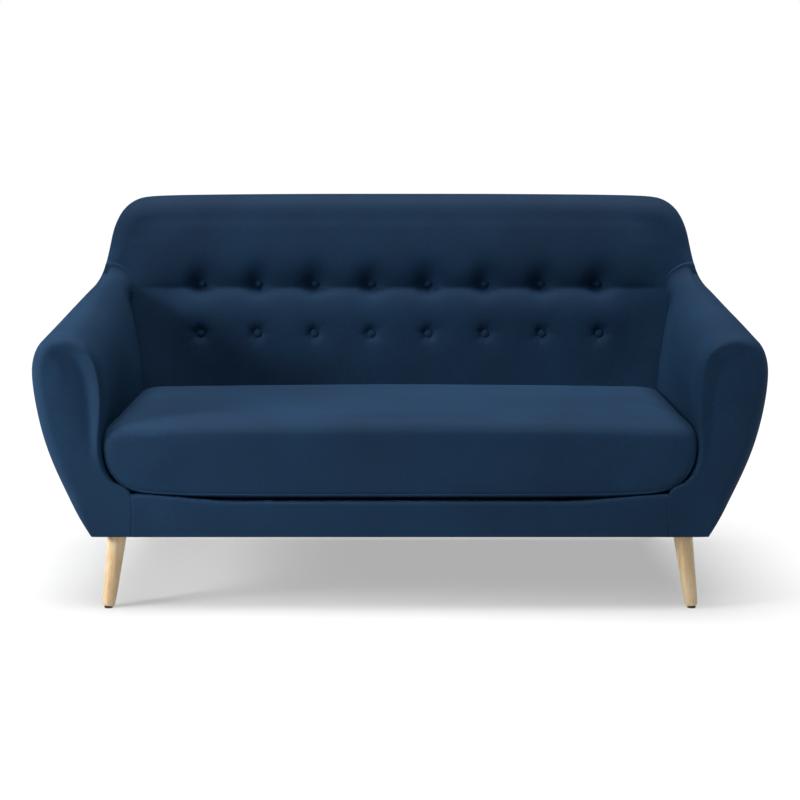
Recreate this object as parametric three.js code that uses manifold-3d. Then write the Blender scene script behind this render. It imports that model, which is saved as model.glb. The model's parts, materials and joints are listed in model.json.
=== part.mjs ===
// Two-seat sofa with wooden legs: a padded shell over a timber frame, one loose seat cushion.
// Millimetres. X runs along the sofa, the front faces -Y, Z is up.
// The origin is on the floor under the middle of the sofa.
import * as THREE from "three";
import { mergeVertices } from "three/addons/utils/BufferGeometryUtils.js";
import Module from "manifold-3d";

const wasm = await Module();
wasm.setup();

// Overall sizes
const overallWidth = 1540;
const overallDepth = 820;
const legHeight = 160;
const armHeight = 422;
const rearArmHeight = 492;

// Clearance between pieces that touch
const gap = 0.3;

// Base
const armFootWidth = 120.5;
const baseEdgeCover = 23.7;
const railHeight = 72;
const railThickness = 24;
const coverThickness = 1.2;
const plateThickness = 2.5;
const blockLength = 86;
const blockWidth = 78;
const webbingThickness = 1.6;
const webbingWidth = 70;
const webbingCount = 4;
const deckThickness = 4.5;
const apronThickness = 25;
const apronSetback = 5;

// Arms
const armInsideWidth = 156;
const armToe = 49;
const rearArmNarrowing = 33;
const armEdgeRound = 14;
const postThickness = 18;
const postPadding = 28;
const armRailHeight = 30;
const armRailWidth = 40;
const armRailDrop = 52;
const armSteps = 40;
const postSteps = 14;

// Back
const backFootSetback = 110;
const backFootThickness = 194;
const backTopThickness = 119;
const backPadding = 50;
const backEdgeRound = 24;
const backPocketSide = 150;
const backPocketDrop = 38;
const outsidePanelThickness = 8;
const outsidePanelInset = 6;
const backPostWidth = 34;
const backPostDepth = 40;
const backRailHeight = 40;
const topRailDrop = 46;
const neckSteps = 18;

// Seat cushion
const cushionHeight = 165;
const cushionFrontRound = 20;
const cushionSetback = 6;
const cushionSteps = 22;

// Buttons
const buttonPitch = 137;
const buttonsPerRow = 8;
const buttonRadius = 11;
const buttonHeight = 8;
const buttonSides = 12;
const lowerRowRise = 113;
const buttonRowSpacing = 118;
const backTopRise = 206;

// Legs
const legTopRadius = 20.5;
const legFootRadius = 13.5;
const legSplay = 20;
const glideRadius = 9;
const glideThickness = 3;
const studRadius = 4;
const studDepth = 30;
const plateSide = 34;
const plateSideMargin = 6.8;
const plateFrontMargin = 2.7;
const plateRearMargin = 16.7;
const legSides = 20;

// Places that follow from the sizes above
const armOuter = overallWidth / 2;
const front = -overallDepth / 2;
const rear = overallDepth / 2;
const baseBottom = legHeight;
const seatHalf = armOuter - armInsideWidth;
const armBaseInner = seatHalf - armToe;
const armFootOuter = armOuter - armFootWidth;
const frameHalf = armFootOuter - baseEdgeCover;
const pocketHalf = armOuter - backPocketSide;
const backFootRear = rear - backFootSetback;
const backFootFront = backFootRear - backFootThickness;
const frameFront = front + apronSetback + apronThickness + gap;
const frameRear = backFootRear - outsidePanelThickness - gap;
const coverBottom = baseBottom + gap;
const coverTop = coverBottom + coverThickness;
const railBottom = coverTop + gap;
const railTop = railBottom + railHeight;
const plateTop = railBottom + plateThickness;
const webbingBottom = railTop + gap;
const webbingTop = webbingBottom + webbingThickness;
const deckBottom = webbingTop + gap;
const deckTop = deckBottom + deckThickness;
const cushionBottom = deckTop + gap;
const cushionTop = cushionBottom + cushionHeight;
const lowerRowZ = cushionTop + lowerRowRise;
const upperRowZ = lowerRowZ + buttonRowSpacing;
const overallHeight = upperRowZ + backTopRise;
const panelTop = overallHeight - outsidePanelInset;
const rearRake = (rear - backFootRear) / (panelTop - baseBottom);
const frontRake = (rear - backTopThickness - backFootFront) / (panelTop - baseBottom);
const legX = frameHalf - plateSideMargin - plateSide / 2;
const frontLegY = frameFront + plateFrontMargin + plateSide / 2;
const rearLegY = frameRear - plateRearMargin - plateSide / 2;

// The front face of the back leans away from the seat, and its rear face leans less.
const backFront = (z) => backFootFront + frontRake * (z - baseBottom);
const backRear = (z) => backFootRear + rearRake * (z - baseBottom);

function fabric(name, color) {
  return new THREE.MeshStandardMaterial({ name, color, roughness: 0.9, metalness: 0 });
}

function timber(name, color) {
  return new THREE.MeshStandardMaterial({ name, color, roughness: 0.55, metalness: 0 });
}

const blueCloth = fabric("blue_cloth", 0x1f3a5c);
const deckCloth = fabric("deck_cloth", 0x16243a);
const coverCloth = fabric("cover_cloth", 0x26262a);
const webbingCloth = fabric("webbing_cloth", 0x8a7a5c);
const pine = timber("pine_timber", 0xc9a877);
const plywood = timber("birch_plywood", 0xc4a06c);
const beech = timber("beech_varnished", 0xcfae83);
const steel = new THREE.MeshStandardMaterial({
  name: "zinc_steel", color: 0xa9abad, roughness: 0.4, metalness: 1,
});
const glidePlastic = new THREE.MeshStandardMaterial({
  name: "glide_plastic", color: 0x3a3632, roughness: 0.6, metalness: 0,
});

// A closed three.js geometry as a manifold solid.
function solid(geometry) {
  const bare = geometry.index ? geometry.toNonIndexed() : geometry.clone();
  bare.deleteAttribute("normal");
  bare.deleteAttribute("uv");
  const merged = mergeVertices(bare, 1e-4);
  const source = merged.index.array;
  const kept = [];
  for (let i = 0; i < source.length; i += 3) {
    const [a, b, c] = [source[i], source[i + 1], source[i + 2]];
    if (a !== b && b !== c && c !== a) {
      kept.push(a, b, c);
    }
  }
  const vertProperties = new Float32Array(merged.attributes.position.array);
  const triVerts = new Uint32Array(kept);
  let body = new wasm.Manifold(new wasm.Mesh({ numProp: 3, vertProperties, triVerts }));
  if (body.volume() < 0) {
    for (let i = 0; i < triVerts.length; i += 3) {
      [triVerts[i], triVerts[i + 1]] = [triVerts[i + 1], triVerts[i]];
    }
    body = new wasm.Manifold(new wasm.Mesh({ numProp: 3, vertProperties, triVerts }));
  }
  return body;
}

// A manifold solid as a named mesh with flat shading.
function piece(name, body, material) {
  const mesh = body.getMesh();
  const geometry = new THREE.BufferGeometry();
  geometry.setAttribute("position", new THREE.BufferAttribute(mesh.vertProperties, 3));
  geometry.setIndex(new THREE.BufferAttribute(mesh.triVerts, 1));
  const flat = geometry.toNonIndexed();
  flat.computeVertexNormals();
  const result = new THREE.Mesh(flat, material);
  result.name = name;
  return result;
}

// A closed solid through rings that all have the same number of [x, y, z] points.
// The end caps are filled in the plane of the two axes named.
function loft(rings, axisA, axisB) {
  const count = rings[0].length;
  const positions = rings.flat(2);
  const index = [];
  for (let r = 0; r < rings.length - 1; r += 1) {
    for (let i = 0; i < count; i += 1) {
      const next = (i + 1) % count;
      const a = r * count + i;
      const b = r * count + next;
      const c = (r + 1) * count + next;
      const d = (r + 1) * count + i;
      index.push(a, b, c, a, c, d);
    }
  }
  const outline = rings[rings.length - 1].map((p) => new THREE.Vector2(p[axisA], p[axisB]));
  const clockwise = THREE.ShapeUtils.isClockWise(outline);
  const last = (rings.length - 1) * count;
  for (const [a, b, c] of THREE.ShapeUtils.triangulateShape(outline, [])) {
    if (clockwise) {
      index.push(a, b, c, last + a, last + c, last + b);
    } else {
      index.push(a, c, b, last + a, last + b, last + c);
    }
  }
  const geometry = new THREE.BufferGeometry();
  geometry.setAttribute("position", new THREE.Float32BufferAttribute(positions, 3));
  geometry.setIndex(index);
  return solid(geometry);
}

// A box between two corners.
function box(low, high) {
  const size = high.map((value, i) => value - low[i]);
  const geometry = new THREE.BoxGeometry(size[0], size[1], size[2]);
  geometry.translate(...low.map((value, i) => value + size[i] / 2));
  return solid(geometry);
}

// A prism with a [y, z] outline that runs from one x to another.
function prismAlongX(outline, xLow, xHigh) {
  const ends = [xLow, xHigh];
  return loft(ends.map((x) => outline.map(([y, z]) => [x, y, z])), 1, 2);
}

// A panel with an [x, z] outline that runs from one y to another.
function prismAlongY(outline, yLow, yHigh) {
  const ends = [yLow, yHigh];
  return loft(ends.map((y) => outline.map(([x, z]) => [x, y, z])), 0, 2);
}

// A rod along Z around a centre.
function rod(radius, centre, zLow, zHigh, sides) {
  const geometry = new THREE.CylinderGeometry(radius, radius, zHigh - zLow, sides);
  geometry.rotateX(Math.PI / 2);
  geometry.translate(centre[0], centre[1], (zLow + zHigh) / 2);
  return solid(geometry);
}

// A smooth outline: fixed corners first, then a curve through control points.
function smoothOutline(corners, curve, steps) {
  const spline = new THREE.SplineCurve(curve.map(([x, z]) => new THREE.Vector2(x, z)));
  const sampled = spline.getPoints(steps).map((p) => [p.x, p.y]);
  return [...corners, ...sampled];
}

// Every edge of an outline moved outwards by a distance, or inwards if it is negative.
// The distance can differ from point to point.
function offsetOutline(outline, distance) {
  const count = outline.length;
  const turn = THREE.ShapeUtils.isClockWise(outline.map((p) => new THREE.Vector2(...p)));
  const side = turn ? -1 : 1;
  const outward = (p, q) => {
    const along = new THREE.Vector2(q[0] - p[0], q[1] - p[1]).normalize();
    return new THREE.Vector2(along.y * side, -along.x * side);
  };
  return outline.map((point, i) => {
    const first = outward(outline[(i + count - 1) % count], point);
    const second = outward(point, outline[(i + 1) % count]);
    const middle = first.clone().add(second).normalize();
    const reach = distance(point) / middle.dot(first);
    return [point[0] + middle.x * reach, point[1] + middle.y * reach];
  });
}

// How far a height is through a soft step from one height to another, 0 to 1.
function softStep(z, low, high) {
  return THREE.MathUtils.smoothstep(z, low, high);
}

// The right arm seen from the front. The outside swells like a barrel, and the inside
// leans outwards and then turns in under the seat cushion.
function armOutline(crestX, narrowing, height, steps) {
  const corner = [[armBaseInner, baseBottom]];
  const curve = [
    [armFootOuter - narrowing * 0.15, baseBottom],
    [armOuter - 80 - narrowing * 0.4, baseBottom + 60],
    [armOuter - 47 - narrowing * 0.6, baseBottom + 127],
    [armOuter - 22 - narrowing * 0.8, baseBottom + 195],
    [armOuter - 8 - narrowing, baseBottom + height * 0.63],
    [armOuter - 0.5 - narrowing, baseBottom + height * 0.77],
    [armOuter - 1 - narrowing, baseBottom + height * 0.86],
    [armOuter - 15 - narrowing * 0.8, baseBottom + height * 0.955],
    [crestX + 33 - narrowing * 0.4, baseBottom + height * 0.993],
    [crestX, baseBottom + height],
    [crestX - 33 + narrowing * 0.2, baseBottom + height * 0.968],
    [seatHalf + 25 + narrowing * 0.5, baseBottom + height * 0.895],
    [seatHalf + 9 + narrowing * 0.5, baseBottom + height * 0.79],
    [seatHalf + 1, deckTop + 167],
    [seatHalf - 2, deckTop + 84],
    [seatHalf - armToe * 0.33, deckTop + 42],
    [armBaseInner, deckTop + 9],
  ];
  return smoothOutline(corner, curve, steps);
}

function frontArm(steps) {
  return armOutline(armOuter - 80, 0, armHeight, steps);
}

function rearArm(steps) {
  return armOutline(armOuter - 72, rearArmNarrowing, rearArmHeight, steps);
}

// The arm between its front and rear outlines, at a share of the way back.
function armBetween(share, steps) {
  const rearOutline = rearArm(steps);
  return frontArm(steps).map(([x, z], i) => [
    THREE.MathUtils.lerp(x, rearOutline[i][0], share),
    THREE.MathUtils.lerp(z, rearOutline[i][1], share),
  ]);
}

const armPosts = [
  { end: "front", y: frameFront, share: 0.06 },
  { end: "rear", y: backFront(baseBottom) - postPadding - postThickness, share: 0.8 },
];

// An arm post is the arm's outline less its padding, beside the base frame.
function armPost(post, spare) {
  const padding = () => spare - postPadding;
  const outline = offsetOutline(armBetween(post.share, postSteps), padding);
  const slab = prismAlongY(outline, post.y - spare, post.y + postThickness + spare);
  const inner = frameHalf + gap - spare / 2;
  const outside = box([inner, front, baseBottom], [armOuter, rear, overallHeight]);
  return slab.intersect(outside);
}

// The rail under the arm's top, from the front post to the rear post.
function armRail(spare) {
  const halfWidth = armRailWidth / 2 + spare;
  const halfHeight = armRailHeight / 2 + spare;
  const reach = gap - spare * 2;
  const ends = [
    { y: armPosts[0].y + postThickness + reach, share: armPosts[0].share },
    { y: armPosts[1].y - reach, share: armPosts[1].share },
  ];
  const rings = ends.map(({ y, share }) => {
    const x = armOuter - THREE.MathUtils.lerp(80, 84, share);
    const top = baseBottom + THREE.MathUtils.lerp(armHeight, rearArmHeight, share);
    const z = top - armRailDrop;
    return [
      [x - halfWidth, y, z - halfHeight],
      [x + halfWidth, y, z - halfHeight],
      [x + halfWidth, y, z + halfHeight],
      [x - halfWidth, y, z + halfHeight],
    ];
  });
  return loft(rings, 0, 2);
}

// The padded arm: a rounded front edge, a rear end that follows the back's rake,
// room for the base frame, and pockets for its two posts and its rail.
function paddedArm() {
  const outline = frontArm(armSteps);
  const rounded = [[0, 1], [0.2, 0.45], [0.55, 0.12], [1, 0]];
  const rings = rounded.map(([depth, share]) => {
    const trim = ([, z]) => -armEdgeRound * share * softStep(z, baseBottom + 40, baseBottom + 140);
    const y = front + depth * armEdgeRound;
    return offsetOutline(outline, trim).map(([x, z]) => [x, y, z]);
  });
  rings.push(rearArm(armSteps).map(([x, z]) => [x, backFront(z) - gap, z]));
  const room = box(
    [armBaseInner - gap, frameFront - gap, baseBottom - gap],
    [frameHalf + gap, rear, webbingTop + gap],
  );
  let arm = loft(rings, 0, 2).subtract(room);
  for (const post of armPosts) {
    arm = arm.subtract(armPost(post, gap));
  }
  return arm.subtract(armRail(gap));
}

// The right half of the back's outline: the arm's outside, a neck, then a round shoulder.
function backHalfOutline() {
  const shoulder = baseBottom + rearArmHeight * 0.9;
  const spread = overallHeight - shoulder;
  const sampled = rearArm(armSteps).slice(1);
  const crest = sampled.reduce((best, p, i) => (p[1] > sampled[best][1] ? i : best), 0);
  const side = sampled.slice(0, crest).filter(([, z]) => z < shoulder);
  const start = side[side.length - 1];
  const curve = [
    start,
    [armOuter - 46, shoulder + spread * 0.17],
    [armOuter - 57, shoulder + spread * 0.33],
    [armOuter - 64, shoulder + spread * 0.54],
    [armOuter - 75, shoulder + spread * 0.7],
    [armOuter - 93, shoulder + spread * 0.85],
    [armOuter - 113, shoulder + spread * 0.93],
    [armOuter - 138, shoulder + spread * 0.966],
    [armOuter - 185, shoulder + spread * 0.985],
  ];
  const upper = smoothOutline([], curve, neckSteps).slice(1);
  return [...side, ...upper];
}

function backOutline() {
  const right = backHalfOutline();
  const left = right.map(([x, z]) => [-x, z]).reverse();
  return [...right, [0, overallHeight], ...left];
}

// The padded inside of the back. It wraps the top and sides of its frame, is open to the
// rear, and stands around the rear of the base frame.
function insideBack() {
  const outline = backOutline();
  const shoulder = baseBottom + rearArmHeight;
  const free = (z) => softStep(z, shoulder, shoulder + 60);
  const rounded = [[0, 1], [0.3, 0.4], [1, 0]];
  const rings = rounded.map(([depth, share]) => {
    const trim = ([, z]) => -backEdgeRound * share * free(z);
    const moved = offsetOutline(outline, trim);
    return moved.map(([x, z]) => [x, backFront(z) + depth * backEdgeRound, z]);
  });
  rings.push(outline.map(([x, z]) => [x, backRear(z) - outsidePanelThickness - gap, z]));
  const low = railTop;
  const high = overallHeight - backPocketDrop;
  const pocket = prismAlongX([
    [backFront(low) + backPadding, low],
    [rear * 2, low],
    [rear * 2, high],
    [backFront(high) + backPadding, high],
  ], -pocketHalf, pocketHalf);
  const room = box(
    [-frameHalf - gap, front, baseBottom - gap],
    [frameHalf + gap, rear * 2, webbingTop + gap],
  );
  return loft(rings, 0, 2).subtract(pocket).subtract(room);
}

// The stapled panel that closes the back from behind.
function outsideBack() {
  const outline = offsetOutline(backOutline(), () => -outsidePanelInset);
  const depths = [outsidePanelThickness, 0];
  return loft(depths.map((depth) => outline.map(([x, z]) => [x, backRear(z) - depth, z])), 0, 2);
}

// A timber of the back frame: raked like the panel behind it.
function backTimber(xLow, xHigh, zLow, zHigh) {
  const face = (z) => backRear(z) - outsidePanelThickness - gap;
  return prismAlongX([
    [face(zLow) - backPostDepth, zLow],
    [face(zLow), zLow],
    [face(zHigh), zHigh],
    [face(zHigh) - backPostDepth, zHigh],
  ], xLow, xHigh);
}

// The loose seat cushion. Its ends follow the arms, and its rear face follows the back.
function seatCushion() {
  const top = cushionTop;
  const curve = [
    [armBaseInner - 20, cushionBottom],
    [armBaseInner + 1, deckTop + 14],
    [seatHalf - armToe * 0.49, deckTop + 48],
    [seatHalf - 8, deckTop + 87],
    [seatHalf - 4, deckTop + 117],
    [seatHalf - 9, top - 27],
    [seatHalf - 24, top - 12],
    [seatHalf - 55, top - 4],
    [seatHalf - 240, top - 1],
  ];
  const right = smoothOutline([], curve, cushionSteps);
  const left = right.map(([x, z]) => [-x, z]).reverse();
  const outline = [...right, [0, top], ...left];
  const start = front + cushionSetback;
  const rounded = [[0, 1], [0.2, 0.5], [0.6, 0.15], [1.3, 0]];
  const rings = rounded.map(([depth, share]) => {
    const moved = offsetOutline(outline, () => -cushionFrontRound * share);
    return moved.map(([x, z]) => [x, start + depth * cushionFrontRound, z]);
  });
  rings.push(outline.map(([x, z]) => [x, backFront(z) - gap, z]));
  return loft(rings, 0, 2);
}

// A covered button standing square on the raked front of the back.
function backButton(x, z) {
  const profile = [
    [0, 0],
    [1, 0],
    [1, 0.35],
    [0.84, 0.72],
    [0.5, 0.93],
    [0, 1],
  ].map(([r, h]) => new THREE.Vector2(r * buttonRadius, h * buttonHeight));
  const geometry = new THREE.LatheGeometry(profile, buttonSides);
  const outward = new THREE.Vector3(0, -1, frontRake).normalize();
  const turn = new THREE.Quaternion().setFromUnitVectors(new THREE.Vector3(0, 1, 0), outward);
  geometry.applyQuaternion(turn);
  const seat = outward.clone().multiplyScalar(gap);
  geometry.translate(x + seat.x, backFront(z) + seat.y, z + seat.z);
  return solid(geometry);
}

const legPlaces = [
  { end: "front", y: frontLegY, kick: -legSplay },
  { end: "rear", y: rearLegY, kick: legSplay },
];

// A turned, tapered leg that leans outwards, cut flat at the top and above its glide.
function leg(place) {
  const topPoint = new THREE.Vector3(legX, place.y, baseBottom);
  const foot = new THREE.Vector3(legX + legSplay, place.y + place.kick, 0);
  const axis = topPoint.clone().sub(foot);
  const length = axis.length();
  const spare = legTopRadius / 2;
  const profile = [
    [0, 0],
    [glideRadius + 1, 0],
    [legFootRadius - 1, 3],
    [legFootRadius, 8],
    [THREE.MathUtils.lerp(legFootRadius, legTopRadius, 0.86), length * 0.75],
    [legTopRadius, length],
    [legTopRadius, length + spare],
    [0, length + spare],
  ].map(([r, h]) => new THREE.Vector2(r, h));
  const geometry = new THREE.LatheGeometry(profile, legSides);
  const up = new THREE.Vector3(0, 1, 0);
  geometry.applyQuaternion(new THREE.Quaternion().setFromUnitVectors(up, axis.normalize()));
  geometry.translate(foot.x, foot.y, foot.z);
  const between = box(
    [legX - legSplay * 4, place.y - legSplay * 4, glideThickness + gap],
    [legX + legSplay * 4, place.y + legSplay * 4, baseBottom - gap],
  );
  const hole = rod(studRadius + gap, [legX, place.y], baseBottom - studDepth - gap, baseBottom, 12);
  return solid(geometry).intersect(between).subtract(hole);
}

// The steel plate under a corner block, with the stud that the leg screws onto.
function studPlate(place) {
  const half = plateSide / 2;
  const plate = box([legX - half, place.y - half, railBottom], [legX + half, place.y + half, plateTop]);
  const overlap = plateThickness / 2;
  const stud = rod(studRadius, [legX, place.y], baseBottom - studDepth, railBottom + overlap, 12);
  return plate.add(stud);
}

function glide(place) {
  const share = glideThickness / baseBottom;
  const x = legX + legSplay * (1 - share);
  const y = place.y + place.kick * (1 - share);
  return rod(glideRadius, [x, y], 0, glideThickness, 16);
}

function cornerBlock(place) {
  const yLow = place.end === "front" ? frameFront : frameRear - blockLength;
  return box(
    [frameHalf - blockWidth, yLow, plateTop + gap],
    [frameHalf, yLow + blockLength, railTop],
  );
}

// The cloth under the base, with a hole for each leg's stud.
function dustCover() {
  let cover = box([-frameHalf, frameFront, coverBottom], [frameHalf, frameRear, coverTop]);
  for (const place of legPlaces) {
    for (const side of [-1, 1]) {
      const hole = rod(studRadius + 1, [side * legX, place.y], baseBottom - 1, railBottom, 12);
      cover = cover.subtract(hole);
    }
  }
  return cover;
}

const sofa = new THREE.Group();

// The right-hand piece and its mirror image on the left.
function addPair(name, body, material) {
  sofa.add(piece(`right_${name}`, body, material));
  sofa.add(piece(`left_${name}`, body.mirror([1, 0, 0]), material));
}

addPair("arm", paddedArm(), blueCloth);
for (const post of armPosts) {
  addPair(`arm_${post.end}_post`, armPost(post, 0), plywood);
}
addPair("arm_rail", armRail(0), pine);

for (const place of legPlaces) {
  addPair(`${place.end}_leg`, leg(place), beech);
  addPair(`${place.end}_leg_plate`, studPlate(place), steel);
  addPair(`${place.end}_glide`, glide(place), glidePlastic);
  addPair(`${place.end}_corner_block`, cornerBlock(place), pine);
}

const railY = [frameFront + blockLength + gap, frameRear - blockLength - gap];
addPair("side_rail", box(
  [frameHalf - railThickness, railY[0], railBottom],
  [frameHalf, railY[1], railTop],
), pine);

const railX = frameHalf - blockWidth - gap;
sofa.add(piece("front_rail", box(
  [-railX, frameFront, railBottom],
  [railX, frameFront + railThickness, railTop],
), pine));
sofa.add(piece("rear_rail", box(
  [-railX, frameRear - railThickness, railBottom],
  [railX, frameRear, railTop],
), pine));
sofa.add(piece("centre_rail", box(
  [-railThickness / 2, frameFront + railThickness + gap, railBottom],
  [railThickness / 2, frameRear - railThickness - gap, railTop],
), pine));
sofa.add(piece("dust_cover", dustCover(), coverCloth));

for (let i = 0; i < webbingCount; i += 1) {
  const x = (i - (webbingCount - 1) / 2) * (2 * railX / webbingCount);
  sofa.add(piece(`webbing_${i + 1}`, box(
    [x - webbingWidth / 2, frameFront, webbingBottom],
    [x + webbingWidth / 2, frameRear, webbingTop],
  ), webbingCloth));
}

const baseHalf = armBaseInner - gap;
const apronFront = front + apronSetback;
sofa.add(piece("front_apron", box(
  [-baseHalf, apronFront, baseBottom],
  [baseHalf, apronFront + apronThickness, deckTop],
), blueCloth));
sofa.add(piece("seat_deck", box(
  [-baseHalf, apronFront + apronThickness + gap, deckBottom],
  [baseHalf, backFront(deckBottom) - gap, deckTop],
), deckCloth));

sofa.add(piece("inside_back", insideBack(), blueCloth));
sofa.add(piece("outside_back", outsideBack(), blueCloth));

const postX = [pocketHalf - gap - backPostWidth, pocketHalf - gap];
const topRailTop = overallHeight - topRailDrop;
addPair("back_post", backTimber(postX[0], postX[1], railTop + gap, topRailTop), pine);

const buttonRows = [{ row: "lower", z: lowerRowZ }, { row: "upper", z: upperRowZ }];
const backRails = [
  { row: "top", low: topRailTop - backRailHeight },
  ...buttonRows.map(({ row, z }) => ({ row, low: z - backRailHeight / 2 })),
];
for (const { row, low } of backRails) {
  const railEnd = postX[0] - gap;
  const body = backTimber(-railEnd, railEnd, low, low + backRailHeight);
  sofa.add(piece(`back_${row}_rail`, body, pine));
}

for (const { row, z } of buttonRows) {
  for (let i = 0; i < buttonsPerRow; i += 1) {
    const x = (i - (buttonsPerRow - 1) / 2) * buttonPitch;
    sofa.add(piece(`${row}_button_${i + 1}`, backButton(x, z), blueCloth));
  }
}

sofa.add(piece("seat_cushion", seatCushion(), blueCloth));

export default sofa;
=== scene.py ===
import json
import math
import bpy
import bmesh
import numpy as np
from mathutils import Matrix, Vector, noise
from mathutils.bvhtree import BVHTree


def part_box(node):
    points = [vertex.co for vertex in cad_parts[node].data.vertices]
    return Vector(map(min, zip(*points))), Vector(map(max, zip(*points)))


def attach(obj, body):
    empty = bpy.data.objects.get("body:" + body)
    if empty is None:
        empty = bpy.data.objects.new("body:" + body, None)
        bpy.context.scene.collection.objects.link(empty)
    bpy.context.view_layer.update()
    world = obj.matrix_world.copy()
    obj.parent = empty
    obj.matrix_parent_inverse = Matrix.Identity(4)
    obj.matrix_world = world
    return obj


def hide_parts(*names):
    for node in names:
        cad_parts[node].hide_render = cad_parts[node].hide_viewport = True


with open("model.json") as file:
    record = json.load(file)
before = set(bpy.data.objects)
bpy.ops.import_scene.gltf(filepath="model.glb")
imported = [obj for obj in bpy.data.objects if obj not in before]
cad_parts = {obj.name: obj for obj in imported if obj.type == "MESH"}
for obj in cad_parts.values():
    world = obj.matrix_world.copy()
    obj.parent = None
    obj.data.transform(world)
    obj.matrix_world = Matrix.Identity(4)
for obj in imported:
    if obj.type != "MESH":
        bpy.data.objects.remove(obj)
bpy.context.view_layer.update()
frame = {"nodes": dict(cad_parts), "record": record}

print("frame loaded")

# places read from the frame
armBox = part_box("right_arm")
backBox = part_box("inside_back")
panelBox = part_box("outside_back")
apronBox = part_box("front_apron")
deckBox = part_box("seat_deck")
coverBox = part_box("dust_cover")
lowButton = sum(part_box("lower_button_1"), Vector()) / 2
highButton = sum(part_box("upper_button_1"), Vector()) / 2
nextButton = sum(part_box("lower_button_2"), Vector()) / 2

baseZ = armBox[0].z  # underside of the upholstery
frontY = armBox[0].y
toeX = armBox[0].x  # where an arm's foot meets the apron
deckZ = deckBox[1].z
topZ = backBox[1].z
buttonPitch = nextButton.x - lowButton.x
panelDepth = 0.008  # how thick the outside back panel is
faceRake = (highButton.y - lowButton.y) / (highButton.z - lowButton.z)
rearRake = (panelBox[1].y - panelBox[0].y - panelDepth) / (panelBox[1].z - panelBox[0].z)


def backFace(z):  # front plane of the back at a height
    return backBox[0].y + faceRake * (z - baseZ)


def backRear(z):  # rear plane of the back at a height
    return panelBox[0].y + panelDepth + rearRake * (z - baseZ)


def softStep(x, low, high):
    t = np.clip((np.asarray(x, float) - low) / (high - low), 0, 1)
    return t * t * (3 - 2 * t)


def smoothSide(points, count):  # soft curve through given points, evenly spaced
    pts = np.array(points, float)
    ends = np.vstack([2 * pts[0] - pts[1], pts, 2 * pts[-1] - pts[-2]])
    t = np.linspace(0, 1, 24, endpoint=False)[:, None]
    fine = []
    for k in range(len(pts) - 1):
        a, b, c, d = ends[k:k + 4]
        bend = (2 * a - 5 * b + 4 * c - d) * t ** 2 + (3 * b - a - 3 * c + d) * t ** 3
        fine.append(0.5 * (2 * b + (c - a) * t + bend))
    fine = np.vstack(fine + [pts[-1:]])
    along = np.concatenate([[0], np.cumsum(np.linalg.norm(np.diff(fine, axis=0), axis=1))])
    want = np.linspace(0, along[-1], count + 1)
    return np.stack([np.interp(want, along, fine[:, k]) for k in (0, 1)], axis=1)


def ringOf(sides):  # four sides, anticlockwise from the bottom left corner
    return np.vstack([side[:-1] for side in sides])


def insetRing(ring, amount):
    before, after = np.roll(ring, 1, axis=0), np.roll(ring, -1, axis=0)

    def outward(a, b):
        d = b - a
        d = d / (np.linalg.norm(d, axis=1, keepdims=True) + 1e-12)
        return np.stack([d[:, 1], -d[:, 0]], axis=1)

    first, second = outward(before, ring), outward(ring, after)
    middle = first + second
    middle /= np.linalg.norm(middle, axis=1, keepdims=True)
    reach = amount / np.maximum((middle * first).sum(axis=1), 0.6)
    return ring - middle * reach[:, None]


def softenRing(values, times):  # evens out a value that changes along a ring
    for _ in range(times):
        values = (np.roll(values, 1) + 2 * values + np.roll(values, -1)) / 4
    return values


def ringPatch(ring, nb, ns):  # fills a ring with a grid, returns (nb + 1, ns + 1, 2)
    closed = np.vstack([ring, ring[:1]])
    bottom, right = closed[:nb + 1], closed[nb:nb + ns + 1]
    top, left = closed[nb + ns:2 * nb + ns + 1][::-1], closed[2 * nb + ns:][::-1]
    u = np.linspace(0, 1, nb + 1)[:, None, None]
    v = np.linspace(0, 1, ns + 1)[None, :, None]
    grid = (1 - v) * bottom[:, None] + v * top[:, None]
    grid = grid + (1 - u) * left[None] + u * right[None]
    corners = (1 - u) * (1 - v) * bottom[0] + u * (1 - v) * bottom[-1]
    corners = corners + (1 - u) * v * top[0] + u * v * top[-1]
    return grid - corners


def addObject(name, data):
    thing = bpy.data.objects.new(name, data)
    bpy.context.scene.collection.objects.link(thing)
    return thing


def shadeSmooth(mesh, on=True):
    mesh.polygons.foreach_set("use_smooth", [on] * len(mesh.polygons))


def makeMesh(name, verts, faces, smooth=True):
    mesh = bpy.data.meshes.new(name)
    mesh.from_pydata([tuple(v) for v in verts], [], [tuple(f) for f in faces])
    work = bmesh.new()
    work.from_mesh(mesh)
    bmesh.ops.recalc_face_normals(work, faces=work.faces)
    work.to_mesh(mesh)
    work.free()
    shadeSmooth(mesh, smooth)
    return addObject(name, mesh)


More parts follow.
